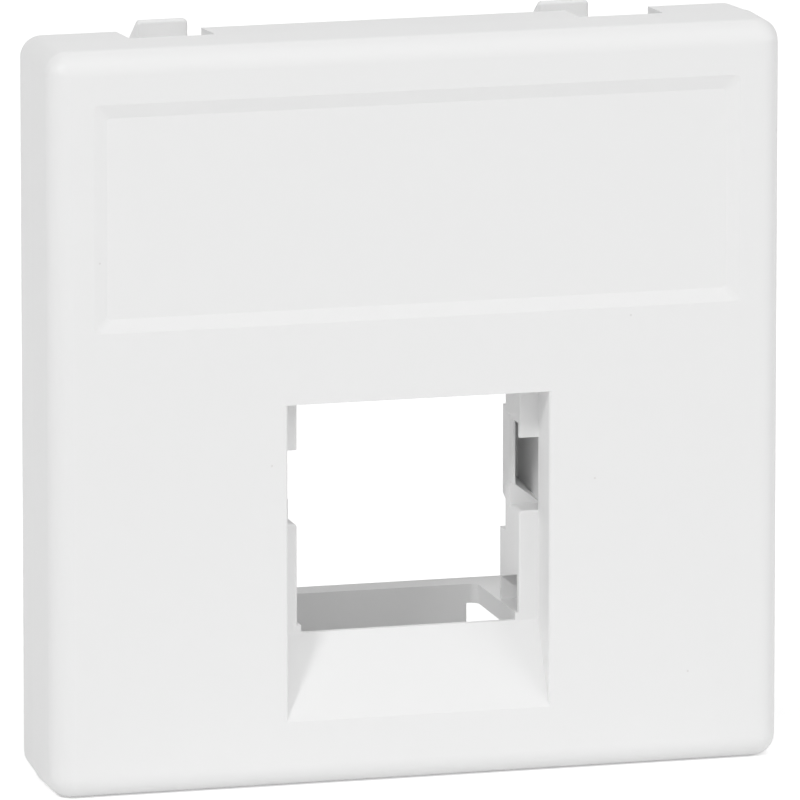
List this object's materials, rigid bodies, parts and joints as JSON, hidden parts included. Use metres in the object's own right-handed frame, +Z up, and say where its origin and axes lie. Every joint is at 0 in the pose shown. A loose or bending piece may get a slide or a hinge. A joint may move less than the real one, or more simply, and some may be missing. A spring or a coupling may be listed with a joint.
{
  "type": "keystone insert plate",
  "caption": "Square white insert plate with a recessed label field above an opening and scoop; holds a keystone jack behind it and snaps into a mounting frame.",
  "frame": {"origin": "centre of the plate, in the plane of the rear rim that seats on the mounting frame", "axes": "+X to the right seen from the front, +Y from the front face to the back, +Z up"},
  "size_m": [0.05, 0.018, 0.05],
  "materials": {
    "white_plastic": "fine satin moulded surface"
  },
  "bodies": {
    "root": {"insert_plate": "white_plastic"}
  },
  "joints": []
}
